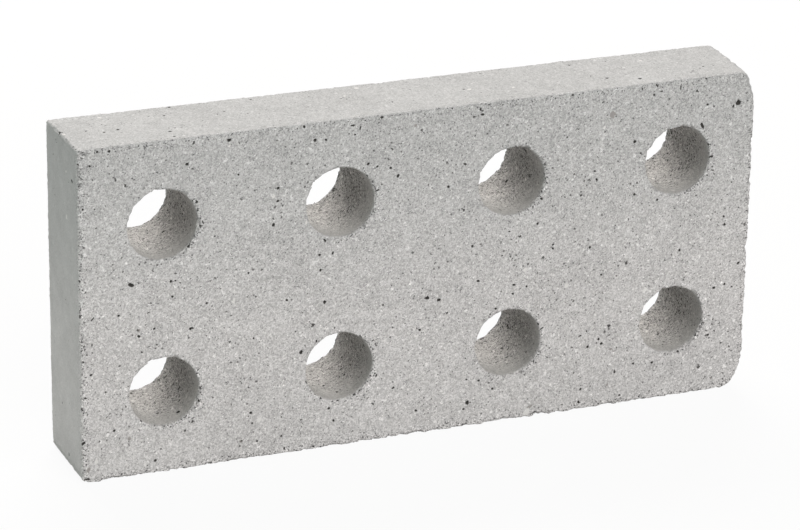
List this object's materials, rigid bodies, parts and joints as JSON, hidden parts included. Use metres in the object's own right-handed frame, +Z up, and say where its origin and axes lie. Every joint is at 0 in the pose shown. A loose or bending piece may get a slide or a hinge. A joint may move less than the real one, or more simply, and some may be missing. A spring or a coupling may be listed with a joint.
{
  "type": "refractory brick slip",
  "caption": "Thin grey refractory slip, a flat rectangular slab pierced by round through holes in even rows, for lining and packing kilns and furnaces.",
  "frame": {"origin": "middle of the bottom edge face, on the floor that the slip stands on", "axes": "+X along the length, +Y through the thickness from the front face to the back face, +Z up the height"},
  "size_m": [0.22, 0.03, 0.105],
  "materials": {
    "fired_refractory": "unglazed, sandy and matt"
  },
  "bodies": {
    "root": {"brick_slip": "fired_refractory"}
  },
  "joints": []
}
